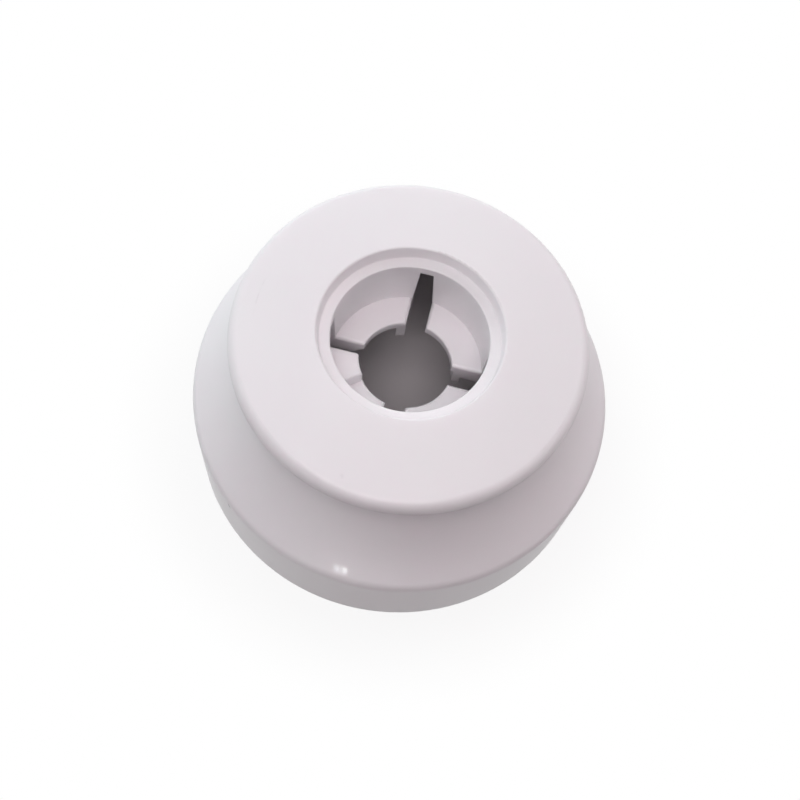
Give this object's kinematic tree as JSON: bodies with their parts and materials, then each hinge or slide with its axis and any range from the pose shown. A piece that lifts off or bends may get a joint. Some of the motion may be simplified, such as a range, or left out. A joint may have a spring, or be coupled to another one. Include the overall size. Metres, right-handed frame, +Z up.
{
  "type": "washing machine filter lid",
  "caption": "Round pull-off lid of a washing machine's lint filter: flared skirt, flat pull knob, and a stepped well whose slotted floor snaps onto the filter's post.",
  "frame": {"origin": "middle of the skirt's bottom edge, on the axis of the lid", "axes": "+Z points up along the axis of the lid, out of the well; +X lies along the middle of one of the slots"},
  "size_m": [0.1, 0.1, 0.0528],
  "materials": {
    "white_plastic": "satin moulded white plastic"
  },
  "bodies": {
    "root": {"filter_lid": "white_plastic"}
  },
  "joints": []
}
